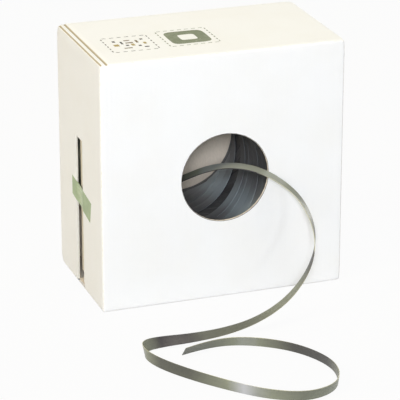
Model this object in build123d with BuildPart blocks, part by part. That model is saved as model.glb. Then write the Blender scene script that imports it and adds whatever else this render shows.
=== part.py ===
"""A roll of plastic strapping in its self-dispensing carton, with the free end drawn out.

Millimetres, +Z up, +X along the broad front panel and -Y out through the pull-out hole.
The origin is the middle of the carton's underside.
"""

import os
from math import ceil, cos, radians, sin, tan

from build123d import *

# Strap
strap_width = 15.0
strap_thickness = 0.8

# Coil, wound without a core
coil_diameter = 320.0
coil_bore = 152.0
coil_width = 182.0
turn_mark_pitch = 7.0
turn_mark_width = 1.2
turn_mark_depth = 0.6

# Clearances of the coil in the carton
seat_gap = 0.3
side_clearance = 1.0
end_clearance = 2.0
head_room = 11.7

# Corrugated board, and its folds and scores
board = 3.0
fold_radius = 2.5
score_width = 1.4
score_depth = 1.0
score_inset = 1.0
score_spacing = 8.0

# Round pull-out hole in the front panel, a little right of its middle and below it
hole_diameter = 120.0
hole_offset = 1.6
hole_drop = 1.2

# Slot in the left end, open at the bottom
slot_width = 29.0
slot_height = 209.0
slot_offset = 4.0
slot_flare = 7.0
slot_flare_height = 12.0

# Dust flaps behind the two ends
front_flap_reach = 101.0
rear_flap_reach = 73.0
flap_taper = 18.0

# Adhesive tape across the slot
tape_width = 26.0
tape_length = 83.0
tape_thickness = 0.2
tape_height = 127.0
tape_offset = -5.6
tape_tilt = 9.0

# One overrun serves every cut
overrun = 2.0

# What follows from the sizes above
coil_radius = coil_diameter / 2
bore_radius = coil_bore / 2
carton_width = coil_diameter + 2 * side_clearance + 4 * board
carton_depth = coil_width + 2 * end_clearance + 2 * board
carton_height = coil_diameter + seat_gap + head_room + 2 * board
coil_axis_height = board + seat_gap + coil_radius
hole_height = carton_height / 2 - hole_drop
end_x = carton_width / 2
front_y = carton_depth / 2
inner_y = front_y - board

# The strap's free end: the corners of its route, and its roll about its own run at each of them.
# A roll of 0 lies flat with its outer side up, and one of -270 stands on its leading edge.
TAIL = [
    ((-57.5, -34, 114.7), 160),
    ((-66.5, -39, 128.5), 132),
    ((-65, -46, 143), 48),
    ((-54, -53, 153), 16),
    ((-38, -61, 162), 15),
    ((-19, -71, 172), 14),
    ((4, -82, 179), 11),
    ((28, -93, 179), 10),
    ((51, -105, 173), 8),
    ((73, -117, 160), 4),
    ((93, -131, 141), -10),
    ((103, -148, 116), -38),
    ((103, -164, 91), -85),
    ((90, -181, 66), -130),
    ((66, -197, 44), -155),
    ((35, -209, 26), -172),
    ((-3, -216, 13), -182),
    ((-45, -222, 8), -195),
    ((-90, -226, 7.8), -206),
    ((-128, -224, 7.8), -222),
    ((-154, -227, 7.5), -244),
    ((-162, -250, 7.8), -264),
    ((-153, -284, 7.8), -270),
    ((-128, -327, 7.8), -268),
    ((-96, -370, 7.8), -262),
    ((-60, -410, 7.8), -257),
    ((-18, -433, 7.8), -255),
    ((20, -425, 7.8), -252),
    ((43, -397, 7.8), -264),
    ((49, -350, 7.8), -285),
    ((24, -295, 7.8), -290),
    ((-24, -257, 7.8), -290),
    ((-72, -248, 7.8), -297),
    ((-113, -262, 7.8), -303),
]
bend_share = 0.45
turn_per_section = 12.0


def save(piece, name):
    """Labels a finished piece and writes it to its own file."""
    piece.part.label = name
    export_step(piece.part, f"parts/{name}.step")


def flap_corners(reach, side):
    """The corners of a dust flap, tapered at both ends of its free edge. side is -1 in front and 1 behind."""
    low, high, free_edge = board, carton_height - board, side * (front_y - reach)
    return [(side * inner_y, low), (free_edge, low + flap_taper), (free_edge, high - flap_taper), (side * inner_y, high)]


def build_carton():
    """The folded blank: a closed box with its dust flaps, hole, slot and double score."""
    with BuildPart() as carton:
        with BuildSketch(Plane.XY):
            Rectangle(carton_width, carton_depth)
        extrude(amount=carton_height)
        folds = carton.edges().filter_by(Axis.X) + carton.edges().filter_by(Axis.Z)
        fillet(folds, radius=fold_radius)

        with BuildSketch(Plane.XY.offset(board)):
            Rectangle(carton_width - 2 * board, carton_depth - 2 * board)
        extrude(amount=carton_height - 2 * board, mode=Mode.SUBTRACT)

        for end in (-1, 1):
            flap_plane = Plane(origin=(end * (end_x - board), 0, 0), x_dir=(0, 1, 0), z_dir=(1, 0, 0))
            for reach, side in ((front_flap_reach, -1), (rear_flap_reach, 1)):
                with BuildSketch(flap_plane):
                    with BuildLine():
                        Polyline(*flap_corners(reach, side), close=True)
                    make_face()
                extrude(amount=-end * board)

        with BuildSketch(Plane.XZ.offset(front_y)):
            with Locations((hole_offset, hole_height)):
                Circle(hole_diameter / 2)
        extrude(amount=-(board + overrun), mode=Mode.SUBTRACT)

        left_plane = Plane(origin=(-end_x, 0, 0), x_dir=(0, 1, 0), z_dir=(1, 0, 0))
        rear_edge, front_edge = slot_offset + slot_width / 2, slot_offset - slot_width / 2
        with BuildSketch(left_plane):
            with BuildLine():
                Polyline(
                    (rear_edge, -overrun),
                    (rear_edge, slot_height),
                    (front_edge, slot_height),
                    (front_edge, slot_flare_height),
                    (front_edge - slot_flare, 0),
                    (front_edge - slot_flare, -overrun),
                    close=True,
                )
            make_face()
        extrude(amount=board, mode=Mode.SUBTRACT)

        with BuildSketch(Plane.XY.offset(carton_height)):
            for inset in (score_inset, score_inset + score_spacing):
                with Locations((-end_x + inset + score_width / 2, 0)):
                    Rectangle(score_width, carton_depth + overrun)
        extrude(amount=-score_depth, mode=Mode.SUBTRACT)
    save(carton, "carton")


def build_coil():
    """The wound strap as one turned solid, with rings on its ends where its turns show."""
    mark_count = ceil((coil_radius - bore_radius) / turn_mark_pitch) - 1
    with BuildPart() as coil:
        with BuildSketch(Plane.XY.offset(coil_axis_height)):
            with Locations(((coil_radius + bore_radius) / 2, 0)):
                Rectangle(coil_radius - bore_radius, coil_width)
            for mark in range(1, mark_count + 1):
                radius = bore_radius + mark * turn_mark_pitch
                with Locations((radius, coil_width / 2), (radius, -coil_width / 2)):
                    Rectangle(turn_mark_width, 2 * turn_mark_depth, mode=Mode.SUBTRACT)
        revolve(axis=Axis((0, 0, coil_axis_height), (0, 1, 0)))
    save(coil, "strap_coil")


def build_tape():
    """The strip of tape on the left end, slanting down towards the front over the slot."""
    tape_plane = Plane(
        origin=(-end_x, tape_offset, tape_height),
        x_dir=(0, -cos(radians(tape_tilt)), -sin(radians(tape_tilt))),
        z_dir=(-1, 0, 0),
    )
    with BuildPart() as tape:
        with BuildSketch(tape_plane):
            Rectangle(tape_length, tape_width)
        extrude(amount=tape_thickness)
    save(tape, "closure_tape")


def corner_radii(points):
    """The largest tangent arc that the two runs at each inner corner leave room for."""
    radii = []
    for before, corner, after in zip(points, points[1:], points[2:]):
        turn = (corner - before).get_angle(after - corner)
        shorter = min((corner - before).length, (after - corner).length)
        radii.append(bend_share * shorter / tan(radians(turn / 2)))
    return radii


def rolled_across(direction, roll):
    """The direction across the strap, towards its leading edge, where it runs along direction with this roll."""
    right = direction.cross(Vector(0, 0, 1)).normalized()
    up = right.cross(direction)
    return right * cos(radians(roll)) - up * sin(radians(roll))


def across_at_corners(points, rolls):
    """The direction across the strap at each corner of its route, from the mean of the two runs there."""
    runs = [(after - before).normalized() for before, after in zip(points, points[1:])]
    means = [(a + b).normalized() for a, b in zip([runs[0]] + runs, runs + [runs[-1]])]
    return [rolled_across(mean, roll) for mean, roll in zip(means, rolls)]


def strap_sections(path, across):
    """Planes square to the path, closer together where it turns, that roll from corner to corner."""
    stations, middles, along = [], [0.0], 0.0
    for edge in path.edges():
        steps = 1
        if edge.geom_type == GeomType.CIRCLE:
            middles.append(along + edge.length / 2)
            steps = 2 * ceil((edge % 0).get_angle(edge % 1) / turn_per_section / 2)
        stations += [(edge @ (k / steps), edge % (k / steps), along + edge.length * k / steps) for k in range(steps)]
        along += edge.length
    middles.append(along)
    stations.append((path @ 1, path % 1, along))
    planes = []
    for place, tangent, at in stations:
        span = max(k for k in range(len(middles) - 1) if middles[k] <= at)
        share = (at - middles[span]) / (middles[span + 1] - middles[span])
        leaning = across[span] * (1 - share) + across[span + 1] * share
        planes.append(Plane(origin=place, x_dir=leaning - tangent * leaning.dot(tangent), z_dir=tangent))
    return planes


def build_tail():
    """The free end: a flat section carried along straight runs and tangent arcs, rolling as it goes."""
    points = [Vector(*place) for place, _ in TAIL]
    radii = corner_radii(points)
    print("strap radii", [round(radius) for radius in radii])
    with BuildLine() as route:
        FilletPolyline(*points, radius=radii)
    path = route.wire()
    with BuildPart() as tail:
        for plane in strap_sections(path, across_at_corners(points, [roll for _, roll in TAIL])):
            with BuildSketch(plane):
                Rectangle(strap_width, strap_thickness)
        loft(ruled=True)
    ideal = path.length * strap_width * strap_thickness
    print("strap length", round(path.length), "volume", round(tail.part.volume), "section times length", round(ideal))
    print("strap lowest", round(tail.part.bounding_box().min.Z, 3))
    save(tail, "strap_tail")


os.makedirs("parts", exist_ok=True)
build_carton()
build_coil()
build_tape()
build_tail()
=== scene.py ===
"""The looks of a roll of plastic strapping in its self-dispensing carton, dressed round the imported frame.

Metres throughout, in the frame's own axes: +Z up, +X along the front panel, -Y out of the pull-out hole.
"""

import logging
import math
import random
from collections.abc import Callable, Iterable, Sequence
from dataclasses import dataclass, field
from enum import Enum

import bpy
import numpy as np
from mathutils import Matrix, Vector, noise


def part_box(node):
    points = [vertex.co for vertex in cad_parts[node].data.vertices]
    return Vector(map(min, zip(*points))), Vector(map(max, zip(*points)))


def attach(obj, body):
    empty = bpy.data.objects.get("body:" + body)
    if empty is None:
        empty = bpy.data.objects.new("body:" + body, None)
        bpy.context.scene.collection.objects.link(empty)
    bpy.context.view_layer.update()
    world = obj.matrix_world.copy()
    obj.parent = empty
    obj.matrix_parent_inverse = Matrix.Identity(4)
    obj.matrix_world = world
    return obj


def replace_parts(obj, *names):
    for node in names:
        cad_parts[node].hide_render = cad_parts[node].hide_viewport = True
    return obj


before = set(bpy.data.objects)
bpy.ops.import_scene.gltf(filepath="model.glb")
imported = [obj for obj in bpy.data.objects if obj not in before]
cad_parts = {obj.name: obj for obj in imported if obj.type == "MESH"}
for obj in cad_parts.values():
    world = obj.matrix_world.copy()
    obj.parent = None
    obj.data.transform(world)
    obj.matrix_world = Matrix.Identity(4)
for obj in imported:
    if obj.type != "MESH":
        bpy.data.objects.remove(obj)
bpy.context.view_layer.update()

log = logging.getLogger("strapping_roll")

Colour = tuple[float, float, float]
Station = tuple[Vector, Vector, Vector]

UP = Vector((0, 0, 1))
BODY = "root"

STRAP_WIDTH = 0.015
STRAP_THICKNESS = 0.0008

# The strap's free end: the corners of its route, and its roll about its own run at each of them.
# A roll of 0 lies flat with its outer side up, and one of -270 stands on its leading edge.
TAIL = [
    ((-0.0575, -0.034, 0.1147), 160),
    ((-0.0665, -0.039, 0.1285), 132),
    ((-0.065, -0.046, 0.143), 48),
    ((-0.054, -0.053, 0.153), 16),
    ((-0.038, -0.061, 0.162), 15),
    ((-0.019, -0.071, 0.172), 14),
    ((0.004, -0.082, 0.179), 11),
    ((0.028, -0.093, 0.179), 10),
    ((0.051, -0.105, 0.173), 8),
    ((0.073, -0.117, 0.160), 4),
    ((0.093, -0.131, 0.141), -10),
    ((0.103, -0.148, 0.116), -38),
    ((0.103, -0.164, 0.091), -85),
    ((0.090, -0.181, 0.066), -130),
    ((0.066, -0.197, 0.044), -155),
    ((0.035, -0.209, 0.026), -172),
    ((-0.003, -0.216, 0.013), -182),
    ((-0.045, -0.222, 0.008), -195),
    ((-0.090, -0.226, 0.0078), -206),
    ((-0.128, -0.224, 0.0078), -222),
    ((-0.154, -0.227, 0.0075), -244),
    ((-0.162, -0.250, 0.0078), -264),
    ((-0.153, -0.284, 0.0078), -270),
    ((-0.128, -0.327, 0.0078), -268),
    ((-0.096, -0.370, 0.0078), -262),
    ((-0.060, -0.410, 0.0078), -257),
    ((-0.018, -0.433, 0.0078), -255),
    ((0.020, -0.425, 0.0078), -252),
    ((0.043, -0.397, 0.0078), -264),
    ((0.049, -0.350, 0.0078), -285),
    ((0.024, -0.295, 0.0078), -290),
    ((-0.024, -0.257, 0.0078), -290),
    ((-0.072, -0.248, 0.0078), -297),
    ((-0.113, -0.262, 0.0078), -303),
]


class Value:
    """A socket that carries one number. Python's operators on it add Math nodes."""

    def __init__(self, graph: "Graph", socket: bpy.types.NodeSocket) -> None:
        """Wraps a socket of that graph."""
        self.graph, self.socket = graph, socket

    def __add__(self, other: "Value | float") -> "Value":
        """Adds."""
        return self.graph.math("ADD", self, other)

    __radd__ = __add__

    def __sub__(self, other: "Value | float") -> "Value":
        """Takes other from this."""
        return self.graph.math("SUBTRACT", self, other)

    def __rsub__(self, other: float) -> "Value":
        """Takes this from other."""
        return self.graph.math("SUBTRACT", other, self)

    def __mul__(self, other: "Value | float") -> "Value":
        """Multiplies."""
        return self.graph.math("MULTIPLY", self, other)

    __rmul__ = __mul__

    def __abs__(self) -> "Value":
        """Drops the sign."""
        return self.graph.math("ABSOLUTE", self)

    def wave(self, pitch: float) -> "Value":
        """A sine of this length, from -1 to 1, that repeats every pitch."""
        return self.graph.math("SINE", self * (2 * math.pi / pitch))

    def step(self, low: float, high: float) -> "Value":
        """Rises smoothly from 0 where this is low to 1 where it is high."""
        ramp = self.graph.node(
            "ShaderNodeMapRange",
            {"interpolation_type": "SMOOTHSTEP"},
            {"Value": self, "From Min": low, "From Max": high, "To Min": 0.0, "To Max": 1.0},
        )
        return Value(self.graph, ramp.outputs["Result"])


class Graph:
    """A tree of shader nodes, and the few ways in which the finishes add to it."""

    def __init__(self, tree: bpy.types.NodeTree) -> None:
        """Empties the tree and takes it over."""
        self.tree = tree
        tree.nodes.clear()

    def node(self, kind: str, settings: dict | None = None, sockets: dict | None = None) -> bpy.types.Node:
        """Adds one node.

        Args:
            kind: the node's type.
            settings: its own settings by name, set first.
            sockets: values or links for its inputs, by name or number.

        Returns:
            The node.
        """
        made = self.tree.nodes.new(kind)
        for name, value in (settings or {}).items():
            setattr(made, name, value)
        for key, value in (sockets or {}).items():
            source = value.socket if isinstance(value, Value) else value
            if isinstance(source, bpy.types.NodeSocket):
                self.tree.links.new(source, made.inputs[key])
            else:
                made.inputs[key].default_value = source
        return made

    def math(self, operation: str, *terms: "Value | float") -> Value:
        """Adds a Math node and returns its result."""
        made = self.node("ShaderNodeMath", {"operation": operation}, dict(enumerate(terms)))
        return Value(self, made.outputs[0])

    def number(self, name: str) -> Value:
        """The number of that name which a mesh carries at its corners."""
        made = self.node("ShaderNodeAttribute", {"attribute_name": name})
        return Value(self, made.outputs["Fac"])

    def place(self) -> bpy.types.NodeSocket:
        """The point on the piece, in the frame's axes."""
        return self.node("ShaderNodeTexCoord").outputs["Object"]

    def parts(self, vector: bpy.types.NodeSocket) -> list[Value]:
        """The three numbers of a vector."""
        made = self.node("ShaderNodeSeparateXYZ", sockets={"Vector": vector})
        return [Value(self, socket) for socket in made.outputs]

    def joined(self, x: "Value | float", y: "Value | float", z: "Value | float") -> bpy.types.NodeSocket:
        """A vector of three numbers."""
        return self.node("ShaderNodeCombineXYZ", sockets={"X": x, "Y": y, "Z": z}).outputs[0]

    def stretched(self, vector: bpy.types.NodeSocket, by: Colour) -> bpy.types.NodeSocket:
        """A vector times another, number by number."""
        made = self.node("ShaderNodeVectorMath", {"operation": "MULTIPLY"}, {0: vector, 1: by})
        return made.outputs[0]

    def noise(self, vector: bpy.types.NodeSocket, scale: float, detail: float = 2.0) -> Value:
        """Soft noise from 0 to 1 over a vector."""
        made = self.node("ShaderNodeTexNoise", sockets={"Vector": vector, "Scale": scale, "Detail": detail})
        return Value(self, made.outputs["Fac"])

    def streaks(
        self, along: Value, across: Value, scales: tuple[float, float], layer: float, detail: float
    ) -> Value:
        """Noise drawn out along a strip.

        Args:
            along: the distance along the strip.
            across: the distance across it.
            scales: how fine the noise is along and across.
            layer: which of many unlike patterns it is.
            detail: how many finer noises it holds.

        Returns:
            The noise, from 0 to 1.
        """
        return self.noise(self.joined(along * scales[0], across * scales[1], layer), 1.0, detail)

    def mix(self, factor: "Value | float", first: object, second: object) -> bpy.types.NodeSocket:
        """A colour between two colours, each a socket or three numbers."""
        ends = [(*end, 1.0) if isinstance(end, tuple) else end for end in (first, second)]
        made = self.node("ShaderNodeMix", {"data_type": "RGBA"}, {0: factor, 6: ends[0], 7: ends[1]})
        return made.outputs[2]

    def bump(self, height: Value, depth: float) -> bpy.types.NodeSocket:
        """A normal that shows relief of this depth where height goes from 0 to 1."""
        made = self.node("ShaderNodeBump", sockets={"Height": height, "Distance": depth, "Strength": 1.0})
        return made.outputs["Normal"]

    def finish(self, shader: bpy.types.Node, kind: str = "ShaderNodeOutputMaterial") -> None:
        """Sends a shader to the output."""
        self.node(kind, sockets={"Surface": shader.outputs[0]})

    def surface(
        self,
        colour: bpy.types.NodeSocket,
        roughness: "Value | float",
        normal: bpy.types.NodeSocket,
        gloss: float,
    ) -> None:
        """Sends a principled shader to the output.

        Args:
            colour: its base colour.
            roughness: its roughness.
            normal: its normal, with the relief.
            gloss: its specular level, the same all over.
        """
        looks = {"Base Color": colour, "Roughness": roughness, "Normal": normal}
        self.finish(self.node("ShaderNodeBsdfPrincipled", sockets={**looks, "Specular IOR Level": gloss}))


def new_finish(name: str) -> tuple[bpy.types.Material, Graph]:
    """An empty material of that name, with its graph."""
    material = bpy.data.materials.new(name)
    material.use_nodes = True
    return material, Graph(material.node_tree)


def linked(name: str, data: bpy.types.ID) -> bpy.types.Object:
    """A new object of that name and data, linked into the scene."""
    made = bpy.data.objects.new(name, data)
    bpy.context.scene.collection.objects.link(made)
    return made


@dataclass(frozen=True)
class WhiteLiner:
    """The smooth white paper on the outside of the board, worn at its folds, with painted shade in its
    scores and round the hole's rim.
    """

    white: Colour = (0.905, 0.903, 0.895)
    shade: Colour = (0.890, 0.882, 0.860)
    worn: Colour = (0.760, 0.715, 0.620)
    # The score colour below is painted shade in the grooves.
    score_shade: Colour = (0.420, 0.335, 0.195)
    # The dark colour below is painted shade round the hole's rim.
    hole_rim_shade: Colour = (0.110, 0.095, 0.085)
    flute_pitch: float = 0.0066
    cloud_scale: float = 14.0
    fibre_scale: float = 900.0
    wear_scale: float = 160.0
    grain_scale: float = 220.0
    roughness: float = 0.7
    relief_depth: float = 0.00006
    gloss: float = 0.05

    def material(self) -> bpy.types.Material:
        """Builds the material."""
        material, graph = new_finish("white_liner")
        place = graph.place()
        x, y, _ = graph.parts(place)
        clouds = graph.noise(place, self.cloud_scale, 3.0).step(0.35, 0.7)
        fibres = graph.noise(place, self.fibre_scale, 2.0)
        near_fold = graph.number("fold").step(0.5, 1.0)
        rubbed = near_fold * (graph.noise(place, self.wear_scale, 3.0).step(0.42, 0.72) + 0.5)
        colour = graph.mix(clouds * 0.7 + fibres * 0.3, self.white, self.shade)
        colour = graph.mix(rubbed * 0.6, colour, self.worn)
        # Painted shade darkens the score grooves.
        colour = graph.mix(graph.number("crease").step(0.0, 0.55) * 0.9, colour, self.score_shade)
        # Painted shade darkens a thin ring round the hole's rim.
        colour = graph.mix(graph.number("cut").step(0.3, 1.0) * 0.85, colour, self.hole_rim_shade)
        flutes = (x + y).wave(self.flute_pitch)
        relief = flutes * 0.35 + fibres * 0.5 + graph.noise(place, self.grain_scale, 2.0)
        normal = graph.bump(relief, self.relief_depth)
        graph.surface(colour, self.roughness + rubbed * 0.25, normal, self.gloss)
        return material


@dataclass(frozen=True)
class RawBoard:
    """Unbleached or lightly toned paper: the inside liner, the fluting and the dust flaps, whose darker tone
    is painted shade.
    """

    name: str
    tone: Colour
    dark: Colour
    fibre_scale: float = 700.0
    fibre_stretch: Colour = (1.0, 1.0, 0.35)
    cloud_scale: float = 25.0
    roughness: float = 0.85
    relief_depth: float = 0.00005
    gloss: float = 0.2

    def material(self) -> bpy.types.Material:
        """Builds the material."""
        material, graph = new_finish(self.name)
        place = graph.place()
        flecks = graph.noise(graph.stretched(place, self.fibre_stretch), self.fibre_scale, 3.0)
        clouds = graph.noise(place, self.cloud_scale, 2.0).step(0.3, 0.75)
        colour = graph.mix(flecks.step(0.35, 0.7) * 0.6 + clouds * 0.4, self.tone, self.dark)
        graph.surface(colour, self.roughness, graph.bump(flecks, self.relief_depth), self.gloss)
        return material


@dataclass(frozen=True)
class StrapPlastic:
    """Embossed polypropylene: a dull grey-green with drawn streaks along it and fine diamonds pressed in."""

    name: str
    body: Colour = (0.270, 0.284, 0.198)
    streak: Colour = (0.165, 0.170, 0.128)
    # edge: the pale colour of the rounded rims, a painted edge highlight.
    edge: Colour = (0.560, 0.520, 0.330)
    # The two colours below are painted shade and painted highlight, mixed in by tone.
    deep: Colour = (0.014, 0.010, 0.012)
    painted_highlight: Colour = (0.600, 0.605, 0.660)
    diamond_pitch: float = 0.0036
    half_width: float = STRAP_WIDTH / 2
    rim_width: float = 0.0005
    line_scales: tuple[float, float] = (6.0, 900.0)
    patch_scales: tuple[float, float] = (13.0, 40.0)
    roughness: float = 0.30
    relief_depth: float = 0.00012
    gloss: float = 0.6

    def material(self) -> bpy.types.Material:
        """Builds the material."""
        material, graph = new_finish(self.name)
        along, across, tone = graph.number("along"), graph.number("across"), graph.number("tone")
        lines = graph.streaks(along, across, self.line_scales, 0.0, 2.0)
        patches = graph.streaks(along, across, self.patch_scales, 3.0, 3.0)
        diamonds = (along + across).wave(self.diamond_pitch) * (along - across).wave(self.diamond_pitch)
        rim = abs(across).step(self.half_width - self.rim_width, self.half_width)
        pressed = (diamonds * 0.5 + 0.5) * (1.0 - rim)
        worn = lines.step(0.3, 0.7) * 0.25 + patches.step(0.38, 0.68) * 0.35 + pressed * 0.4
        colour = graph.mix(worn, self.body, self.streak)
        # The pale rims are a painted edge highlight.
        colour = graph.mix(rim * 0.7, colour, self.edge)
        # Tone below 1 mixes in painted shade, and tone above 1 a painted highlight.
        colour = graph.mix(graph.math("MAXIMUM", 1.0 - tone, 0.0), colour, self.deep)
        colour = graph.mix(graph.math("MAXIMUM", tone - 1.0, 0.0), colour, self.painted_highlight)
        relief = pressed + lines * 0.3
        roughness = self.roughness + patches * 0.12 + lines * 0.05
        graph.surface(colour, roughness, graph.bump(relief, self.relief_depth), self.gloss)
        return material


@dataclass(frozen=True)
class TapeFilm:
    """Light green adhesive tape, with painted highlight streaks where the film dips over the slot."""

    body: Colour = (0.330, 0.420, 0.205)
    # pale: the colour of the painted highlight streaks over the slot.
    pale: Colour = (0.500, 0.575, 0.370)
    dark: Colour = (0.240, 0.310, 0.170)
    line_scales: tuple[float, float] = (30.0, 420.0)
    cloud_scales: tuple[float, float] = (70.0, 90.0)
    roughness: float = 0.32
    relief_depth: float = 0.00012
    gloss: float = 0.5

    def material(self) -> bpy.types.Material:
        """Builds the material."""
        material, graph = new_finish("tape_film")
        along, across, slot_highlight = graph.number("along"), graph.number("across"), graph.number("slot_highlight")
        lines = graph.streaks(along, across, self.line_scales, 0.0, 2.0)
        clouds = graph.streaks(along, across, self.cloud_scales, 5.0, 3.0)
        colour = graph.mix(clouds.step(0.3, 0.75) * 0.6, self.body, self.dark)
        # Painted highlight streaks over the slot.
        colour = graph.mix(slot_highlight * lines.step(0.35, 0.6), colour, self.pale)
        roughness = self.roughness + clouds * 0.15
        graph.surface(colour, roughness, graph.bump(lines * 0.6 + clouds, self.relief_depth), self.gloss)
        return material


class Ink(Enum):
    """The inks of the printed marks."""

    GREY_GREEN = (0.190, 0.215, 0.140)
    BLACK = (0.035, 0.032, 0.028)
    BROWN = (0.160, 0.115, 0.055)
    OCHRE = (0.400, 0.310, 0.120)


@dataclass(frozen=True)
class PrintedInk:
    """Ink pressed into the board, thinner in flecks."""

    ink: Ink
    thin: float = 0.45
    board: Colour = (0.80, 0.78, 0.70)
    fleck_scale: float = 1100.0
    cloud_scale: float = 90.0
    roughness: float = 0.7
    relief_depth: float = 0.00002
    gloss: float = 0.25

    def material(self) -> bpy.types.Material:
        """Builds the material."""
        material, graph = new_finish(f"ink_{self.ink.name.lower()}")
        place = graph.place()
        flecks = graph.noise(place, self.fleck_scale, 3.0).step(0.56, 0.75)
        clouds = graph.noise(place, self.cloud_scale, 2.0).step(0.4, 0.8)
        colour = graph.mix(flecks * self.thin + clouds * 0.12, self.ink.value, self.board)
        graph.surface(colour, self.roughness, graph.bump(flecks, self.relief_depth), self.gloss)
        return material


@dataclass
class Draft:
    """A mesh being drawn: its corners, its faces, and the numbers that its finish reads at each corner."""

    corners: list[Vector] = field(default_factory=list)
    faces: list[tuple[int, ...]] = field(default_factory=list)
    numbers: dict[str, list[float]] = field(default_factory=dict)

    def corner(self, place: Vector, **numbers: float) -> int:
        """Adds a corner with its numbers, and returns its index."""
        self.corners.append(Vector(place))
        for name, number in numbers.items():
            self.numbers.setdefault(name, []).append(number)
        return len(self.corners) - 1

    def grid(
        self,
        rows: Sequence[Sequence[int]],
        closed: bool = False,
        skip: Callable[[int, int], bool] | None = None,
    ) -> None:
        """Fills the cells between rows of corners.

        Args:
            rows: corner indices, row by row.
            closed: whether each row's last corner joins its first.
            skip: says which cells, by row and column, stay open.
        """
        for i, (low, high) in enumerate(zip(rows, rows[1:])):
            for j in range(len(low) - (0 if closed else 1)):
                k = (j + 1) % len(low)
                cell = tuple(dict.fromkeys((low[j], low[k], high[k], high[j])))
                if len(cell) > 2 and not (skip and skip(i, j)):
                    self.faces.append(cell)

    def patch(
        self, point: Callable[[float, float], int], firsts: Sequence[float], seconds: Sequence[float]
    ) -> None:
        """Fills a grid whose corners point makes from each pair of coordinates."""
        self.grid([[point(first, second) for first in firsts] for second in seconds])

    def face_away(self, centre: Vector) -> None:
        """Turns every face so that it looks away from a point inside a hollow form."""
        for number, face in enumerate(self.faces):
            a, b, c = (self.corners[index] for index in (face[0], face[1], face[2]))
            if (b - a).cross(c - a).dot(a - centre) < 0:
                self.faces[number] = tuple(reversed(face))

    def build(
        self,
        name: str,
        finish: bpy.types.Material,
        slot: str,
        thickness: float = 0.0,
        offset: float = -1.0,
        sharp: float = 35.0,
    ) -> bpy.types.Object:
        """Makes the piece, rides it on the body and reports it.

        Args:
            name: the piece's name.
            finish: its material.
            slot: the name of a material slot; not used.
            thickness: how thick the drawn surface becomes, or 0 where it is closed already.
            offset: where that thickness goes: -1 behind the surface, 0 to both sides.
            sharp: the angle in degrees past which an edge isn't smoothed.

        Returns:
            The piece.
        """
        mesh = bpy.data.meshes.new(name)
        mesh.from_pydata(self.corners, [], self.faces)
        mesh.materials.append(finish)
        for key, numbers in self.numbers.items():
            mesh.attributes.new(key, "FLOAT", "POINT").data.foreach_set("value", numbers)
        piece = linked(name, mesh)
        if thickness:
            solid = piece.modifiers.new("thickness", "SOLIDIFY")
            solid.thickness, solid.offset, solid.use_even_offset = thickness, offset, True
            graph = bpy.context.evaluated_depsgraph_get()
            piece.data = bpy.data.meshes.new_from_object(piece.evaluated_get(graph))
            piece.modifiers.clear()
            piece.data.name = name
        piece.data.shade_smooth()
        piece.data.set_sharp_from_angle(angle=math.radians(sharp))
        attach(piece, BODY)
        log.info("%s: %d faces", name, len(piece.data.polygons))
        return piece


@dataclass
class Ribbon:
    """Strap as drawn: a flat section with rounded long edges, carried along a list of stations."""

    width: float = STRAP_WIDTH
    thickness: float = STRAP_THICKNESS
    face_shares: tuple[float, ...] = (-0.97, -0.82, 0.0, 0.82, 0.97)
    edge_share: float = 0.96

    def section(self) -> list[tuple[float, float]]:
        """The section's outline: how far across and how far up each point lies."""
        half, rise = self.width / 2, self.thickness / 2
        top = [(half * share, rise) for share in self.face_shares]
        bottom = [(half * share, -rise) for share in reversed(self.face_shares)]
        return [(-half, 0.0), *top, (half, 0.0), *bottom]

    def lay(
        self,
        draft: Draft,
        stations: Sequence[Station],
        tones: Sequence[float],
        start: float = 0.0,
        reach: float = math.inf,
        edge_tones: Sequence[float] | None = None,
    ) -> None:
        """Draws one length of strap.

        Args:
            draft: the mesh that it joins.
            stations: its centre, the direction across it and the direction out of its face, along its run.
            tones: its plastic's tone at each of them: 0 is dark with painted shade, 1 its own colour and 2
                pale with a painted highlight.
            start: the length already run, so that neighbours don't repeat each other's streaks.
            reach: how far from the middle, along Y, it is cut off square.
            edge_tones: the tones of its leading edge, where they differ; low ones are painted shade.
        """
        rows, along, last = [], start, stations[0][0]
        for (centre, across, out), tone, edge_tone in zip(stations, tones, edge_tones or tones):
            along += (centre - last).length
            last, row = centre, []
            for aside, up in self.section():
                place = centre + across * aside + out * up
                place.y = max(-reach, min(reach, place.y))
                shade = edge_tone if aside > self.edge_share * self.width / 2 else tone
                row.append(draft.corner(place, along=along, across=aside, tone=shade))
            rows.append(row)
        draft.grid(rows, closed=True)
        draft.faces += [tuple(reversed(rows[0])), tuple(rows[-1])]


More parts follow.
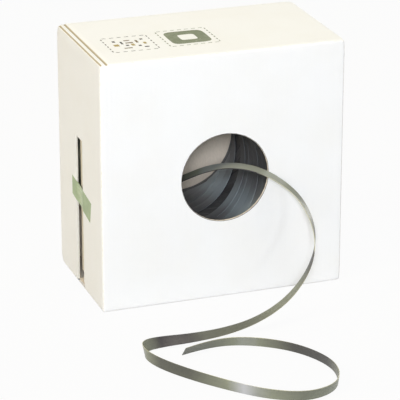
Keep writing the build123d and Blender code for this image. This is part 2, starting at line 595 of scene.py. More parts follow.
@dataclass
class StrapTail:
    """The strap's free end, from the bore's wall out through the hole and round in a loop on the floor."""

    length: float = 1.18
    steps_per_corner: int = 20
    order: int = 3
    # Painted light along the strap: tones above 1 are painted highlights and tones below 1 painted shade.
    painted_light_stops: tuple[tuple[float, float], ...] = (
        (0.0, 0.40), (3.0, 0.35), (4.0, 0.60), (5.0, 1.22), (6.0, 1.24), (7.0, 1.20), (8.0, 1.12),
        (9.0, 1.10), (10.0, 0.70), (11.0, 0.50), (12.0, 0.20), (13.0, 0.10), (14.0, 0.85), (15.0, 0.78),
        (16.0, 0.50), (17.0, 0.42), (17.6, 0.40), (18.0, 0.08), (18.5, -0.10), (19.1, -0.05), (19.6, 0.45),
        (20.3, 1.10), (21.0, 1.15), (22.0, 0.30), (23.0, 0.33), (24.0, 0.98), (24.2, 1.25), (24.45, 1.70),
        (24.8, 1.20), (25.2, 0.98), (26.0, 0.70), (27.0, 0.95), (28.0, 1.05), (29.0, 0.10), (30.0, 0.15),
        (30.9, 1.10), (31.2, 1.15), (32.0, 0.60), (33.0, 0.35),
    )
    # The leading edge is darkened as painted shade where the strap crosses the bore.
    edge_shade_stops: tuple[tuple[float, float], ...] = ((0.0, -0.2), (7.5, -0.2), (8.5, 1.0), (12.5, 1.0))
    ribbon: Ribbon = field(default_factory=Ribbon)

    def spline(self, name: str, corners: Sequence[Vector]) -> list[Vector]:
        """Reads the points of the smooth NURBS line that has these corners as its control points."""
        curve = bpy.data.curves.new(name, "CURVE")
        curve.dimensions, curve.resolution_u = "3D", self.steps_per_corner
        line = curve.splines.new("NURBS")
        line.points.add(len(corners) - 1)
        for point, corner in zip(line.points, corners):
            point.co = (*corner, 1.0)
        line.order_u = self.order
        line.use_endpoint_u = True
        holder = linked(name, curve)
        mesh = bpy.data.meshes.new_from_object(holder)
        points = [vertex.co.copy() for vertex in mesh.vertices]
        bpy.data.objects.remove(holder)
        return points

    def across_at_corners(self) -> list[Vector]:
        """The direction across the strap at each corner, rolled about the mean of the two runs there."""
        places = [Vector(place) for place, _ in TAIL]
        runs = [(after - before).normalized() for before, after in zip(places, places[1:])]
        found = []
        for before, after, (_, roll) in zip([runs[0]] + runs, runs + [runs[-1]], TAIL):
            run = (before + after).normalized()
            right = run.cross(UP).normalized()
            turn = math.radians(roll)
            found.append(right * math.cos(turn) - right.cross(run) * math.sin(turn))
        return found

    def stations(self) -> list[Station]:
        """The strap's centre, across and outward directions, from its line and a line beside it."""
        places = [Vector(place) for place, _ in TAIL]
        beside = [place + across for place, across in zip(places, self.across_at_corners())]
        centres, guides = self.spline("strap_route", places), self.spline("strap_guide", beside)
        found = []
        for number, (centre, guide) in enumerate(zip(centres, guides)):
            ahead = centres[min(number + 1, len(centres) - 1)]
            run = (ahead - centres[max(number - 1, 0)]).normalized()
            leaning = guide - centre
            across = (leaning - run * leaning.dot(run)).normalized()
            found.append((centre, across, across.cross(run)))
        return found

    def tones(self, count: int) -> tuple[list[float], list[float]]:
        """The tone of the plastic's face, and of its leading edge, at that many points along the strap:
        painted highlights and painted shade.
        """
        spans = len(TAIL) - self.order + 1
        places = [spans * number / (count - 1) + 0.5 for number in range(count)]
        face, edge = (np.interp(places, *zip(*stops)) for stops in (self.painted_light_stops, self.edge_shade_stops))
        last = self.edge_shade_stops[-1][0]
        return list(face), [near if place < last else far for place, near, far in zip(places, edge, face)]

    def build(self, finish: bpy.types.Material) -> None:
        stations = self.stations()
        draft = Draft()
        face, edge = self.tones(len(stations))
        self.ribbon.lay(draft, stations, face, edge_tones=edge)
        piece = draft.build("strap_tail_ribbon", finish, "strap")
        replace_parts(piece, "strap_tail")
        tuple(TAIL[0][0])


@dataclass(frozen=True)
class PhotoCamera:
    """The camera at the photograph's angle, distance and framing."""

    azimuth: float = -19.489
    elevation: float = 20.983
    distance: float = 3.2044
    lens: float = 214.0
    target: Colour = (0.00088, 0.0, 0.10155)
    clip_end: float = 40.0

    def build(self) -> None:
        """Makes the camera and gives it to the scene."""
        data = bpy.data.cameras.new("camera")
        data.lens, data.clip_end = self.lens, self.clip_end
        camera = linked("camera", data)
        aim_at(camera, self.target, self.azimuth, self.elevation, self.distance)
        bpy.context.scene.camera = camera


def aim_at(
    thing: bpy.types.Object, target: Colour, azimuth: float, elevation: float, distance: float
) -> None:
    """Places a camera or a lamp so that it looks at a point.

    Args:
        thing: the camera or the lamp.
        target: the point.
        azimuth: 0 looks along +Y and 90 along -X, in degrees.
        elevation: how far above the horizontal it stands, in degrees.
        distance: how far from the point it stands.
    """
    turn, rise = math.radians(azimuth), math.radians(elevation)
    back = Vector((math.sin(turn) * math.cos(rise), -math.cos(turn) * math.cos(rise), math.sin(rise)))
    thing.location = Vector(target) + back * distance
    thing.rotation_euler = (-back).to_track_quat("-Z", "Y").to_euler()


@dataclass(frozen=True)
class Lamp:
    """A soft square lamp. Its level is what a white surface that faces it renders at."""

    name: str
    azimuth: float
    elevation: float
    level: float
    size: float
    colour: Colour
    distance: float = 6.0
    target: Colour = (0.0, 0.0, 0.15)

    def build(self) -> None:
        """Hangs the lamp."""
        data = bpy.data.lights.new(self.name, "AREA")
        data.shape, data.size, data.color = "SQUARE", self.size, self.colour
        data.energy = self.level * math.pi**2 * self.distance**2
        aim_at(linked(self.name, data), self.target, self.azimuth, self.elevation, self.distance)


@dataclass(frozen=True)
class Studio:
    """The plain pale floor, the soft light round it and the lamps."""

    sky: Colour = (0.28, 0.28, 0.275)
    floor: Colour = (0.55, 0.55, 0.55)
    floor_size: float = 30.0
    floor_lift: float = 0.94
    drop: float = 0.0003
    lamps: tuple[Lamp, ...] = (
        Lamp("key", -19.5, 22.0, 0.575, 0.9, (0.835, 0.89, 1.02)),
        Lamp("left", -73.0, 32.0, 0.40, 2.0, (1.0, 0.885, 0.64)),
        Lamp("right", 18.0, 8.0, 0.05, 0.7, (0.93, 0.97, 1.0)),
        Lamp("top", 10.0, 82.0, 0.39, 3.0, (1.0, 0.97, 0.80)),
        Lamp("back", 122.0, 5.0, 0.42, 2.0, (1.0, 0.98, 0.94)),
    )

    def seen(self, graph: Graph) -> Value:
        """1 where the camera looks straight, in a reflection or through something."""
        rays = graph.node("ShaderNodeLightPath").outputs
        straight, mirrored = Value(graph, rays["Is Camera Ray"]), Value(graph, rays["Is Glossy Ray"])
        return graph.math("MINIMUM", straight + mirrored + Value(graph, rays["Is Transmission Ray"]), 1.0)

    def build_sky(self) -> None:
        """Lights the scene evenly from all round, and shows white behind it."""
        world = bpy.data.worlds.new("studio_sky")
        world.use_nodes = True
        bpy.context.scene.world = world
        graph = Graph(world.node_tree)
        colour = graph.mix(self.seen(graph), self.sky, (1.0, 1.0, 1.0))
        graph.finish(graph.node("ShaderNodeBackground", sockets={"Color": colour}), "ShaderNodeOutputWorld")

    def build_floor(self) -> None:
        """Lays the floor, lifted towards white where it is seen, with the object's shadow kept."""
        half = self.floor_size / 2
        mesh = bpy.data.meshes.new("floor")
        corners = [(x * half, y * half, -self.drop) for x, y in ((-1, -1), (1, -1), (1, 1), (-1, 1))]
        mesh.from_pydata(corners, [], [(0, 1, 2, 3)])
        floor = linked("floor", mesh)
        material, graph = new_finish("pale_floor")
        matt = graph.node("ShaderNodeBsdfDiffuse", sockets={"Color": (*self.floor, 1.0)})
        white = graph.node("ShaderNodeEmission", sockets={"Color": (1.0, 1.0, 1.0, 1.0)})
        both = graph.node(
            "ShaderNodeMixShader",
            sockets={0: self.seen(graph) * self.floor_lift, 1: matt.outputs[0], 2: white.outputs[0]},
        )
        graph.finish(both)
        mesh.materials.append(material)

    def build(self) -> None:
        """Builds the sky, the floor and the lamps."""
        bpy.context.scene.view_settings.view_transform = "Standard"
        self.build_sky()
        self.build_floor()
        for lamp in self.lamps:
            lamp.build()


@dataclass
class Carton:
    """The folded board: its outer and inner liners, the fluting in its cut edges, and its dust flaps."""

    hole_radius: float = 0.060
    hole_middle: tuple[float, float] = (0.0016, -0.0012)
    slot_front: float = -0.0105
    slot_rear: float = 0.0185
    slot_height: float = 0.209
    flare: float = 0.007
    flare_height: float = 0.012
    flare_bend: float = -0.040
    board: float = 0.003
    liner: float = 0.00035
    fold_radius: float = 0.0025
    flute_pitch: float = 0.0066
    flute_reach: float = 0.012
    flute_first: float = 0.003
    flute_lines: int = 12
    hole_turns: int = 480
    score_insets: tuple[float, ...] = (0.0017, 0.0097)
    score_half: float = 0.0023
    score_depth: float = 0.0010
    flap_edges: tuple[tuple[int, float], ...] = ((-1, 0.007), (1, 0.030))
    flap_taper: float = 0.018
    flap_slack: float = 0.0002
    panel_step: float = 0.008
    ring_margin: float = 0.008
    ring_shares: tuple[float, ...] = (
        0.12, 0.26, 0.40, 0.53, 0.65, 0.76, 0.86, 0.93, 0.975, 0.990, 0.995, 1.0,
    )
    cut_share: float = 0.993
    ripple: float = 0.0003
    ripple_scale: float = 11.0
    raggedness: float = 0.0003
    ragged_scale: float = 14.0
    ragged_spread: float = 900.0
    wear_reach: float = 0.003
    fold_angles: tuple[float, ...] = (45.0, 30.0, 15.0, 0.0)
    bows: dict[tuple[int, int], float] = field(default_factory=lambda: {
        (0, -1): -0.0005,
        (0, 1): 0.0012,
        (1, -1): 0.0008,
        (1, 1): 0.0008,
        (2, 1): -0.0007,
    })
    crushes: tuple[tuple[Colour, float], ...] = (
        ((-1, 1, 1), 0.0022),
        ((-1, 1, -1), 0.0020),
        ((-1, -1, 1), 0.0006),
        ((1, -1, 1), 0.0012),
        ((1, -1, -1), 0.0008),
        ((1, 1, 1), 0.0010),
        ((1, 1, -1), 0.0012),
    )
    crush_reach: float = 0.007

    def __post_init__(self) -> None:
        """Takes the carton's place and outer size from the frame."""
        low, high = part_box("carton")
        self.half, self.middle = (high - low) / 2, (high + low) / 2
        self.slot_top = self.slot_height - self.half.z

    def fold(self, inset: float) -> float:
        """The radius of the folds of a skin that lies that far inside the outer face."""
        return max(self.fold_radius - inset, self.liner)

    def outward(self, place: Vector, inset: float) -> tuple[Vector, Vector]:
        """Rounds the folds off.

        Args:
            place: a point of the sharp box, from the carton's middle.
            inset: how far inside the outer face that box lies.

        Returns:
            The rounded point, and the direction out of the board there.
        """
        radius = self.fold(inset)
        limits = [half - inset - radius for half in self.half]
        core = Vector([max(-limit, min(limit, part)) for part, limit in zip(place, limits)])
        out = (place - core).normalized()
        return core + out * radius, out

    def flat_shares(self, place: Vector, inset: float) -> tuple[int, int, list[float]]:
        """Finds the panel that a point is on.

        Args:
            place: the point, from the carton's middle.
            inset: how far inside the outer face it lies.

        Returns:
            The panel's axis and side, and how far out the point lies along the panel, as shares.
        """
        shares = [part / (half - inset) for part, half in zip(place, self.half)]
        axis = max(range(3), key=lambda index: abs(shares[index]))
        side = 1 if shares[axis] > 0 else -1
        return axis, side, [share for index, share in enumerate(shares) if index != axis]

    def crease(self, place: Vector, out: Vector) -> float:
        """How deep in a score a point lies, from 0 to 1."""
        found = 0.0
        for inset in self.score_insets:
            aside = abs(place.x + self.half.x - inset) / self.score_half
            if aside < 1:
                found = (1 + math.cos(math.pi * aside)) / 2
        return found * max(out.z, 0.0) ** 2

    def wear(self, place: Vector, inset: float) -> float:
        """How near a fold a point lies, from 0 to 1."""
        gaps = sorted(half - inset - abs(part) for part, half in zip(place, self.half))
        return math.exp(-gaps[1] / self.wear_reach)

    def shaped(self, place: Vector, inset: float = 0.0, depth: float = 0.0) -> Vector:
        """Where a point of the sharp box really lies, with the folds, bows, scores and crushed corners.

        Args:
            place: the point, from the carton's middle.
            inset: how far inside the outer face that box lies.
            depth: how much further into the board the point goes.

        Returns:
            The point in the frame's axes.
        """
        rounded, out = self.outward(place, inset)
        axis, side, (first, second) = self.flat_shares(place, inset)
        slack = (1 - first**2) * (1 - second**2)
        give = self.bows.get((axis, side), 0.0) * slack
        give += self.ripple * noise.noise(place * self.ripple_scale) * math.sqrt(max(slack, 0.0))
        give -= self.score_depth * self.crease(place, out)
        moved = rounded + out * (give - depth)
        for signs, amount in self.crushes:
            corner = Vector([sign * half for sign, half in zip(signs, self.half)])
            near = math.exp(-(((place - corner).length / self.crush_reach) ** 2))
            moved -= Vector(signs).normalized() * amount * near
        return self.middle + moved

    def bent(self, y: float, z: float) -> float:
        """Where an upright line of an end panel stands at that height, with the flare at the slot's foot."""
        rise = (z + self.half.z) / self.flare_height
        if rise >= 1:
            return y
        if y <= self.slot_front:
            share = (y - self.flare_bend) / (self.slot_front - self.flare_bend)
        else:
            share = (self.slot_rear - y) / (self.slot_rear - self.slot_front)
        return y - self.flare * (1 - rise) * max(share, 0.0)

    def insets(self, inset: float) -> list[float]:
        """How far from a fold's edge the lines lie that share out its arc."""
        return [self.fold(inset) * (1 - math.tan(math.radians(angle))) for angle in self.fold_angles]

    def lines(self, half: float, inset: float, stops: Iterable[float]) -> list[float]:
        """The lines of a panel's grid between its folds, close at the folds and through each stop."""
        near = self.insets(inset)
        marks = sorted({*(gap - half for gap in near), *(half - gap for gap in near), *stops})
        found = [marks[0]]
        for low, high in zip(marks, marks[1:]):
            count = math.ceil((high - low) / self.panel_step)
            found += [low + (high - low) * step / count for step in range(1, count + 1)]
        return found

    def skin(self, inset: float) -> Draft:
        """One liner of the whole carton, open at the hole and the slot.

        Args:
            inset: how far inside the outer face it lies.

        Returns:
            The drawn surface, which looks outward.
        """
        draft, known = Draft(), {}
        half = self.half - Vector((inset, inset, inset))
        notch = self.board - self.half.x
        over_slot = self.slot_top + self.liner
        scores = [
            step * self.score_half - self.half.x + score
            for score in self.score_insets
            for step in (-1, -0.5, 0, 0.5, 1)
        ]
        xs = self.lines(half.x, inset, [notch, *scores])
        ys = self.lines(half.y, inset, [self.slot_front, self.slot_rear, self.flare_bend])
        zs = self.lines(half.z, inset, [self.slot_top, self.flare_height - self.half.z])

        def corner(x: float, y: float, z: float, cut: float = 0.0) -> int:
            """The one corner at that point of the sharp box."""
            key = (round(x * 1e6), round(y * 1e6), round(z * 1e6))
            if key not in known:
                place = Vector((x, y, z))
                _, out = self.outward(place, inset)
                numbers = {"fold": self.wear(place, inset), "crease": self.crease(place, out), "cut": cut}
                known[key] = draft.corner(self.shaped(place, inset), **numbers)
            return known[key]

        def in_slot(row: int, column: int) -> bool:
            """Whether a cell of the left end lies in the slot."""
            middle = (ys[column] + ys[column + 1]) / 2
            return self.slot_front < middle < self.slot_rear and zs[row + 1] < over_slot

        for side in (-1, 1):
            rows = [[corner(side * half.x, self.bent(y, z), z) for y in ys] for z in zs]
            draft.grid(rows, skip=in_slot if side < 0 else None)
        draft.grid([[corner(x, half.y, z) for x in xs] for z in zs])
        draft.grid([[corner(x, y, half.z) for x in xs] for y in ys])
        draft.grid([[corner(x, self.bent(y, -half.z), -half.z) for x in xs] for y in ys])
        self.draw_front(draft, corner, xs, zs, half, inset)
        draft.face_away(self.middle)
        return draft

    def draw_front(
        self,
        draft: Draft,
        corner: Callable[..., int],
        xs: Sequence[float],
        zs: Sequence[float],
        half: Vector,
        inset: float,
    ) -> None:
        """Draws the front panel as rings that pass from its edge to the round hole.

        Args:
            draft: the skin that it joins.
            corner: makes or finds the corner at a point.
            xs: the lines that meet its top and bottom edges.
            zs: the lines that meet its upright edges.
            half: the skin's half sizes.
            inset: how far inside the outer face it lies.
        """
        edge = [(x, -half.z) for x in xs[:-1]] + [(half.x, z) for z in zs[:-1]]
        edge += [(x, half.z) for x in reversed(xs[1:])] + [(-half.x, z) for z in reversed(zs[1:])]
        rings = []
        for gap in (*self.insets(inset), self.ring_margin):
            wide, tall = (half.x - gap) / half.x, (half.z - gap) / half.z
            ring = [(x * wide, z * tall) for x, z in edge]
            rings.append([corner(x, -half.y, z) for x, z in ring])
        for share in self.ring_shares:
            row = []
            for x, z in ring:
                away = Vector((x, z)).normalized()
                spot = Vector((*away * self.ragged_scale, inset * self.ragged_spread))
                fray = self.raggedness * noise.noise(spot)
                rim = Vector(self.hole_middle) + away * (self.hole_radius + fray)
                mid = Vector((x, z)).lerp(rim, share)
                # cut marks the rim ring that the white liner darkens as painted shade.
                row.append(corner(mid.x, -half.y, mid.y, cut=float(share > self.cut_share)))
            rings.append(row)
        draft.grid(rings, closed=True)

    def wave_depth(self, along: float, sheet: float) -> float:
        """How deep in the board the fluting lies across the flutes, for sheets of that thickness.

        Args:
            along: how far from a cut edge that lies in an outer crest.
            sheet: how thick the drawn sheet and its clearance are together.

        Returns:
            The depth under the board's outer face.
        """
        swing = self.board / 2 - self.liner - sheet / 2
        return self.board / 2 - swing * math.cos(2 * math.pi * along / self.flute_pitch)

    def hole_fluting(self) -> Draft:
        """The wavy sheet between the liners round the hole."""
        draft, rows = Draft(), []
        for beyond in (self.raggedness, self.flute_first, self.flute_reach):
            radius, row = self.hole_radius + beyond, []
            for step in range(self.hole_turns):
                angle = 2 * math.pi * step / self.hole_turns
                x = self.hole_middle[0] + radius * math.cos(angle)
                z = self.hole_middle[1] + radius * math.sin(angle)
                place = Vector((x, -self.half.y, z))
                row.append(draft.corner(self.shaped(place, depth=self.wave_depth(x, self.liner))))
            rows.append(row)
        draft.grid(rows, closed=True)
        return draft

    def slot_fluting(self) -> Draft:
        """The wavy sheet between the liners round the slot, bent across the board at its two sides."""
        draft, foot, fine = Draft(), self.board - self.half.z, self.flute_pitch / self.flute_lines
        heights = self.spread(foot, self.slot_top, self.panel_step)
        above = self.spread(self.slot_top, self.slot_top + self.flute_reach, self.flute_reach / 3)
        rear = self.spread(self.slot_rear, self.slot_rear + self.flute_reach, fine)
        front = self.spread(self.slot_front - self.flute_reach, self.slot_front, fine)
        over = self.spread(self.slot_front - self.flute_reach, 0.0, fine)
        over += self.spread(0.0, self.slot_rear + self.flute_reach, fine)[1:]

        def point(y: float, z: float, depth: float | None = None) -> int:
            """A corner of the sheet, on its wave where no depth is given."""
            if depth is None:
                depth = self.wave_depth(y - (self.slot_rear if y > 0 else self.slot_front), self.liner)
            return draft.corner(self.shaped(Vector((-self.half.x, self.bent(y, z), z)), depth=depth))

        across = self.spread(self.liner, self.board - self.liner, self.liner)
        for edge in (self.slot_front, self.slot_rear):
            draft.grid([[point(edge, z, depth) for depth in across] for z in heights])
        draft.patch(point, rear, heights)
        draft.patch(point, front, heights)
        draft.patch(point, over, above)
        return draft

    @staticmethod
    def spread(low: float, high: float, step: float) -> list[float]:
        """Even places from low to high, no further apart than step."""
        count = max(1, math.ceil((high - low) / step))
        return [low + (high - low) * number / count for number in range(count + 1)]

    def dust_flap(self, end: int, side: int, edge: float) -> Draft:
        """One flap behind an end panel: two liners, and the fluting at its free edge.

        Args:
            end: -1 on the left and 1 on the right.
            side: -1 where it hangs on the front panel and 1 on the back.
            edge: where its free edge stands.

        Returns:
            The drawn sheets.
        """
        draft = Draft()
        hinge = side * (self.half.y - self.board)
        low, high = self.board - self.half.z, self.half.z - self.board
        tapers = (low + self.flap_taper, high - self.flap_taper)
        heights = sorted({*self.spread(low, high, self.panel_step), *tapers})

        def reach(z: float) -> float:
            """How far the flap reaches at that height, as a share."""
            return min(1.0, (z - low) / self.flap_taper, (high - z) / self.flap_taper)

        def sheet(shares: Sequence[float], depth: Callable[[float], float]) -> None:
            """Draws one of its sheets."""
            rows = []
            for z in heights:
                row = []
                for share in shares:
                    y = hinge + (edge - hinge) * share * reach(z)
                    inward = self.board + depth(y) + self.flap_slack * share
                    row.append(draft.corner(self.shaped(Vector((end * self.half.x, y, z)), depth=inward)))
                rows.append(row)
            draft.grid(rows)

        width = abs(edge - hinge)
        for depth in (self.liner / 2, self.board - self.liner / 2):
            sheet(self.spread(0.0, 1.0, self.panel_step / width), lambda y: depth)
        fine = self.flute_pitch / self.flute_lines / width
        near_edge = self.spread(1 - self.flute_reach / width, 1.0, fine)
        sheet(near_edge, lambda y: self.wave_depth(y - edge, 2 * self.liner))
        return draft

    def build(
        self,
        white: bpy.types.Material,
        inside: bpy.types.Material,
        cut: bpy.types.Material,
        flaps: bpy.types.Material,
    ) -> None:
        """Makes the carton's pieces.

        Args:
            white: the outer liner's finish.
            inside: the inner liner's.
            cut: that of the fluting in the cut edges.
            flaps: that of the dust flaps.
        """
        outer = self.skin(0.0).build("carton_outer_liner", white, "carton_board", self.liner)
        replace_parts(outer, "carton")
        self.skin(self.board - self.liner).build("carton_inner_liner", inside, "carton_board", self.liner)
        self.hole_fluting().build("hole_fluting", cut, "carton_board", self.liner, 0.0)
        self.slot_fluting().build("slot_fluting", cut, "carton_board", self.liner, 0.0)
        for end, end_name in ((-1, "left"), (1, "right")):
            for (side, edge), side_name in zip(self.flap_edges, ("front", "rear")):
                flap = self.dust_flap(end, side, edge)
                flap.build(f"dust_flap_{end_name}_{side_name}", flaps, "carton_board", self.liner, 0.0)


@dataclass
class Coil:
    """The wound strap: its turned body, and the laps that show on its bore and round its outside."""

    bore_radius: float = 0.076
    bore_slant: float = 32.5
    bore_laps: int = 17
    outer_slant: float = 16.8
    outer_laps: int = 19
    rim_radius: float = 0.009
    lap_anchor: float = -78.0
    peeled_height: float = 0.0182
    peeled_end: float = -0.034
    vacated_push: float = 0.0052
    under_depth: float = 0.0028
    body_depth: float = 0.0045
    outer_depth: float = 0.0012
    rim_proud: float = 0.0003
    ring_pitch: float = 0.007
    ring_width: float = 0.0012
    ring_depth: float = 0.0006
    lap_step: float = 0.004
    turns: int = 160
    # The lower right of the bore is paled as painted light.
    lit_side_angle: float = -54.0
    rubbed: float = 1.05
    lit_side_power: float = 11.0
    top_tones: tuple[float, float] = (0.34, 0.56)
    # The under laps are darkened as painted shade.
    under_shade_tones: tuple[float, float] = (0.20, 0.32)
    outer_tones: tuple[float, float] = (0.7, 0.9)
    top_sinks: tuple[float, float] = (0.0002, 0.0008)
    vacated_rise: float = 0.0008
    under_sink: float = 0.0006
    outer_sink: float = 0.0003
    run_spread: float = 9.0
    body_tone: float = 0.6
    body_run: float = 60.0
    rim_angles: range = range(-60, 91, 15)
    ring_slope: float = 0.3
    seed: int = 5
    ribbon: Ribbon = field(default_factory=Ribbon)

    def __post_init__(self) -> None:
        """Takes the coil's place and outer size from the frame."""
        low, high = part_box("strap_coil")
        self.radius, self.half = (high.x - low.x) / 2, (high.y - low.y) / 2
        self.axis = (low.z + high.z) / 2
        self.reach = self.half - self.rim_radius

    def at(self, radius: float, angle: float, y: float) -> Vector:
        """A point at that distance from the coil's axis, angle and depth."""
        return Vector((radius * math.cos(angle), y, self.axis + radius * math.sin(angle)))

    def lap(
        self, radius: float, slant: float, anchor: float, depth: float, low: float, side: int
    ) -> list[Station]:
        """One slanting lap of strap on a round wall.

        Args:
            radius: the wall's radius.
            slant: the lap's angle to the turn, in degrees, less than 0 where it winds the other way.
            anchor: the angle at which it passes depth, in degrees.
            depth: its depth there.
            low: the depth at which it starts.
            side: -1 on the bore's wall and 1 on the outside.

        Returns:
            Its stations. At both ends of the coil it runs under the round rim.
        """
        turn = math.radians(slant)
        advance = radius * math.tan(turn)
        last = self.reach + self.ribbon.width / 2 * math.cos(turn)
        low = max(low, -last)
        count = math.ceil((last - low) / (self.lap_step * abs(math.sin(turn))))
        places = []
        for step in range(count + 1):
            y = low + (last - low) * step / count
            angle = math.radians(anchor) + (y - depth) / advance
            places.append((self.at(radius, angle, y), angle))
        found = []
        for number, (place, angle) in enumerate(places):
            run = (places[min(number + 1, count)][0] - places[max(number - 1, 0)][0]).normalized()
            out = Vector((math.cos(angle), 0.0, math.sin(angle))) * side
            out = (out - run * out.dot(run)).normalized()
            found.append((place, run.cross(out), out))
        return found

    def tones(self, stations: Sequence[Station], tone: float) -> list[float]:
        """The plastic's tone along a lap, paler on the lower right of the bore, where light falls in through
        the hole: painted light.
        """
        turn, found = math.radians(self.lit_side_angle), []
        lit_direction = Vector((math.cos(turn), math.sin(turn)))
        for place, _, _ in stations:
            towards = Vector((place.x, place.z - self.axis)).normalized().dot(lit_direction)
            found.append(tone + self.rubbed * max(towards, 0.0) ** self.lit_side_power)
        return found

    def bore_top_laps(self) -> Draft:
        """The innermost laps. The one before the free end is drawn off, which leaves a slanting gap."""
        draft, chance = Draft(), random.Random(self.seed)
        spacing = 2 * math.pi * self.bore_radius * math.tan(math.radians(self.bore_slant)) / self.bore_laps
        for number in range(self.bore_laps):
            turn = number if number <= self.bore_laps // 2 else number - self.bore_laps
            if turn == -1:
                continue
            depth = self.peeled_height + spacing * turn - (self.vacated_push if turn == -2 else 0.0)
            sink = chance.uniform(*self.top_sinks) - (self.vacated_rise if turn == -2 else 0.0)
            low = self.peeled_end if turn == 0 else -self.radius
            radius = self.bore_radius + self.ribbon.thickness + sink
            stations = self.lap(radius, self.bore_slant, self.lap_anchor, depth, low, -1)
            tones = self.tones(stations, chance.uniform(*self.top_tones))
            self.ribbon.lay(draft, stations, tones, chance.uniform(0.0, self.run_spread), self.reach)
        return draft

    def bore_under_laps(self) -> Draft:
        """The layer under them, which winds the other way, darkened as painted shade in its recess."""
        draft, chance = Draft(), random.Random(self.seed + 1)
        for number in range(self.bore_laps):
            anchor = 360.0 * number / self.bore_laps
            radius = self.bore_radius + self.under_depth + chance.uniform(0.0, self.under_sink)
            stations = self.lap(radius, -self.bore_slant, anchor, 0.0, -self.radius, -1)
            tones = [chance.uniform(*self.under_shade_tones)] * len(stations)
            self.ribbon.lay(draft, stations, tones, chance.uniform(0.0, self.run_spread), self.reach)
        return draft

    def outer_wound_laps(self) -> Draft:
        """The laps round the outside."""
        draft, chance = Draft(), random.Random(self.seed + 2)
        for number in range(self.outer_laps):
            anchor = 360.0 * number / self.outer_laps
            radius = self.radius - self.ribbon.thickness - chance.uniform(0.0, self.outer_sink)
            stations = self.lap(radius, self.outer_slant, anchor, 0.0, -self.radius, 1)[::2]
            tones = [chance.uniform(*self.outer_tones)] * len(stations)
            self.ribbon.lay(draft, stations, tones, chance.uniform(0.0, self.run_spread), self.reach)
        return draft

    def rim(self, radius: float, side: int) -> list[tuple[float, float]]:
        """The round rim where the strap turns back at the far end, from the wall to the end face.

        Args:
            radius: where the rim is furthest from the coil's inside.
            side: -1 on the bore and 1 on the outside.

        Returns:
            Radius and depth of its points.
        """
        middle, depth = radius - side * self.rim_radius, self.half - self.rim_radius
        angles = [math.radians(angle) for angle in self.rim_angles]
        return [
            (middle + side * self.rim_radius * math.cos(angle), depth + self.rim_radius * math.sin(angle))
            for angle in angles
        ]

    def profile(self) -> list[tuple[float, float]]:
        """The turned body's outline, as radius and depth, once round from the bore's middle."""
        inner = self.bore_radius + self.body_depth
        outer = self.radius - self.outer_depth - self.ribbon.thickness
        bore = self.rim(self.bore_radius + self.rim_proud, -1)
        shell = self.rim(self.radius - self.rim_proud, 1)
        start, rings = bore[-1][0] - self.ring_pitch / 2, []
        while start + self.ring_pitch + self.ring_width < shell[-1][0]:
            start += self.ring_pitch
            rings += [
                (start, self.half),
                (start + self.ring_width * self.ring_slope, self.half - self.ring_depth),
                (start + self.ring_width * (1 - self.ring_slope), self.half - self.ring_depth),
                (start + self.ring_width, self.half),
            ]
        far = [(inner, bore[0][1]), *bore, *rings, *reversed(shell), (outer, shell[0][1])]
        return far + [(radius, -y) for radius, y in reversed(far)]

    def body(self) -> Draft:
        """The turned body under the laps, with the marks of its turns on its ends."""
        draft, rows = Draft(), []
        for radius, y in self.profile():
            numbers = {"along": radius * self.body_run, "across": 0.0, "tone": self.body_tone}
            angles = [2 * math.pi * step / self.turns for step in range(self.turns)]
            rows.append([draft.corner(self.at(radius, angle, y), **numbers) for angle in angles])
        draft.grid([*rows, rows[0]], closed=True)
        return draft

    def build(self, inner: bpy.types.Material, outer: bpy.types.Material) -> None:
        """Makes the coil's pieces, with one finish for its inside and one for its outside."""
        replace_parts(self.body().build("coil_body", inner, "strap"), "strap_coil")
        self.bore_top_laps().build("bore_top_laps", inner, "strap")
        self.bore_under_laps().build("bore_under_laps", inner, "strap")
        self.outer_wound_laps().build("outer_laps", outer, "strap")


@dataclass
class ClosureTape:
    """The strip of tape across the slot, pressed to the end panel and dipping where nothing backs it."""

    carton: Carton
    rear_top: tuple[float, float] = (0.0366, 0.1464)
    rear_bottom: tuple[float, float] = (0.0364, 0.1201)
    front_top: tuple[float, float] = (-0.0487, 0.1350)
    front_bottom: tuple[float, float] = (-0.0427, 0.1061)
    thickness: float = 0.00012
    lift: float = 0.00010
    dip: float = 0.0010
    dip_power: float = 0.6
    wrinkle: float = 0.25
    wrinkle_scales: tuple[float, float] = (220.0, 60.0)
    wrinkle_layer: float = 2.0
    columns: int = 84
    rows: int = 26

    def dipping(self, y: float) -> float:
        """How far over the slot a point lies, from 0 at its edges to 1 in its middle."""
        share = (y - self.carton.slot_front) / (self.carton.slot_rear - self.carton.slot_front)
        return math.sin(math.pi * share) ** self.dip_power if 0 < share < 1 else 0.0

    def build(self, finish: bpy.types.Material) -> None:
        """Makes the tape."""
        draft = Draft()
        ends = [Vector(end) for end in (self.rear_bottom, self.front_bottom, self.rear_top, self.front_top)]

        def point(along: float, up: float) -> int:
            """A corner of the tape."""
            y, z = ends[0].lerp(ends[1], along).lerp(ends[2].lerp(ends[3], along), up)
            hollow = self.dipping(y)
            spot = Vector((y * self.wrinkle_scales[0], z * self.wrinkle_scales[1], self.wrinkle_layer))
            wrinkle = noise.noise(spot) * self.wrinkle + 1.0
            place = Vector((-self.carton.half.x, y, z - self.carton.middle.z))
            depth = self.dip * hollow * wrinkle - self.lift
            length = along * (ends[1] - ends[0]).length
            return draft.corner(
                self.carton.shaped(place, depth=depth),
                along=length,
                across=up * (ends[2] - ends[0]).length,
                slot_highlight=hollow,
            )

        alongs, ups = (self.carton.spread(0.0, 1.0, 1 / count) for count in (self.columns, self.rows))
        draft.patch(point, alongs, ups)
        draft.face_away(self.carton.middle)
        piece = draft.build("tape_strip", finish, "tape", self.thickness, 0.0)
        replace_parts(piece, "closure_tape")


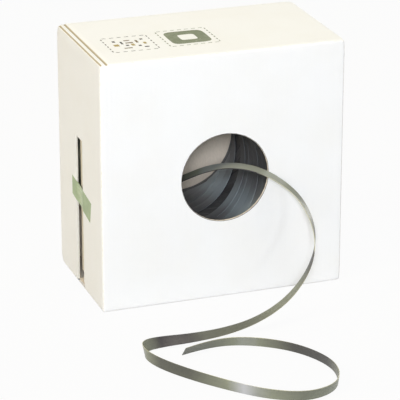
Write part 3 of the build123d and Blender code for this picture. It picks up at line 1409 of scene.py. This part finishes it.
@dataclass
class PrintedMarks:
    """Two plain marks on the top: a dashed square round small blocks, and a solid one with a pale core."""

    carton: Carton
    small_middle: tuple[float, float] = (-0.1020, -0.0186)
    large_middle: tuple[float, float] = (-0.0216, -0.0143)
    small_half: float = 0.031
    large_half: float = 0.034
    solid_half: float = 0.027
    core_half: float = 0.0115
    dash: float = 0.0055
    dash_gap: float = 0.0045
    stroke: float = 0.0014
    lift: float = 0.00003
    thickness: float = 0.00004
    step: float = 0.004
    corner_power: float = 6.0
    ring_turns: int = 96
    ring_step: float = 0.25

    def corner(self, draft: Draft, middle: tuple[float, float], x: float, y: float) -> int:
        """A corner of the print on the top panel."""
        place = Vector((middle[0] + x, middle[1] + y, self.carton.half.z))
        return draft.corner(self.carton.shaped(place, depth=-self.lift))

    def block(
        self, draft: Draft, middle: tuple[float, float], centre: Sequence[float], size: Sequence[float]
    ) -> None:
        """Prints one block of that centre and size."""
        spread, ends = self.carton.spread, zip(centre, size)
        xs, ys = (spread(at - wide / 2, at + wide / 2, self.step) for at, wide in ends)
        draft.patch(lambda x, y: self.corner(draft, middle, x, y), xs, ys)

    def dashed_square(self, draft: Draft, middle: tuple[float, float], half: float) -> None:
        """Prints a square outline in dashes."""
        count = round(2 * half / (self.dash + self.dash_gap))
        pitch = 2 * half / count
        for number in range(count):
            aside = (number + 0.5) * pitch - half
            for side in (-half, half):
                self.block(draft, middle, (aside, side), (self.dash, self.stroke))
                self.block(draft, middle, (side, aside), (self.stroke, self.dash))

    def ring(self, draft: Draft, middle: tuple[float, float], inner: float, outer: float) -> None:
        """Prints a solid square with round corners round a pale core."""
        rows = []
        for share in self.carton.spread(0.0, 1.0, self.ring_step):
            half, row = inner + (outer - inner) * share, []
            for step in range(self.ring_turns):
                angle = 2 * math.pi * step / self.ring_turns
                x, y = math.cos(angle), math.sin(angle)
                spread = abs(x) ** self.corner_power + abs(y) ** self.corner_power
                reach = half / spread ** (1 / self.corner_power)
                row.append(self.corner(draft, middle, reach * x, reach * y))
            rows.append(row)
        draft.grid(rows, closed=True)

    def build(self, inks: dict[Ink, bpy.types.Material]) -> None:
        """Makes the printed pieces."""
        drafts = {ink: Draft() for ink in Ink}
        self.dashed_square(drafts[Ink.BLACK], self.small_middle, self.small_half)
        unit = self.small_half / 4
        for ink, column, line, wide, tall in (
            (Ink.OCHRE, -2.4, -0.3, 0.9, 1.1),
            (Ink.BLACK, -2.3, 1.8, 0.5, 0.8),
            (Ink.BLACK, -1.2, 0.8, 0.35, 1.4),
            (Ink.BROWN, 0.0, 1.9, 1.0, 0.45),
            (Ink.BROWN, 0.1, 0.6, 1.3, 0.5),
            (Ink.OCHRE, 0.4, -0.6, 0.6, 1.1),
            (Ink.BROWN, 1.5, 1.0, 0.4, 1.4),
            (Ink.BLACK, -0.6, -0.7, 0.5, 0.6),
            (Ink.BLACK, 1.4, -1.4, 0.5, 0.6),
            (Ink.BROWN, -0.9, -2.2, 1.4, 0.45),
            (Ink.OCHRE, 2.6, -0.2, 0.5, 1.0),
            (Ink.BLACK, 2.6, 2.0, 0.5, 0.6),
            (Ink.BLACK, 2.3, -2.3, 0.8, 0.45),
        ):
            centre, size = (column * unit, line * unit), (wide * unit, tall * unit)
            self.block(drafts[ink], self.small_middle, centre, size)
        self.dashed_square(drafts[Ink.GREY_GREEN], self.large_middle, self.large_half)
        self.ring(drafts[Ink.GREY_GREEN], self.large_middle, self.core_half, self.solid_half)
        for ink, draft in drafts.items():
            draft.face_away(self.carton.middle)
            draft.build(f"print_{ink.name.lower()}", inks[ink], "carton_board", self.thickness, 1.0)


def main() -> None:
    """Builds the scene: camera and free strap first, then the carton, the coil, the tape and the print."""
    logging.basicConfig(level=logging.INFO, format="%(name)s %(message)s")
    strap = StrapPlastic("strap_plastic").material()
    wound = StrapPlastic(
        "wound_strap",
        body=(0.250, 0.275, 0.266),
        streak=(0.148, 0.130, 0.133),
        edge=(0.225, 0.235, 0.230),
        # This teal colour is the painted highlight on the bore's lit side.
        painted_highlight=(0.540, 0.630, 0.630),
        roughness=0.42,
    )
    PhotoCamera().build()
    StrapTail().build(strap)
    Studio().build()
    carton = Carton()
    inside = RawBoard("inner_liner", (0.88, 0.765, 0.605), (0.79, 0.68, 0.53))
    cut = RawBoard("cut_board", (0.90, 0.88, 0.78), (0.83, 0.79, 0.66))
    # The dust flaps' darker board colour is painted shade.
    flaps = RawBoard("dust_flap_board", (0.66, 0.59, 0.47), (0.55, 0.49, 0.37))
    carton.build(WhiteLiner().material(), inside.material(), cut.material(), flaps.material())
    Coil().build(wound.material(), strap)
    ClosureTape(carton).build(TapeFilm().material())
    PrintedMarks(carton).build({ink: PrintedInk(ink).material() for ink in Ink})


if __name__ == "__main__":
    main()
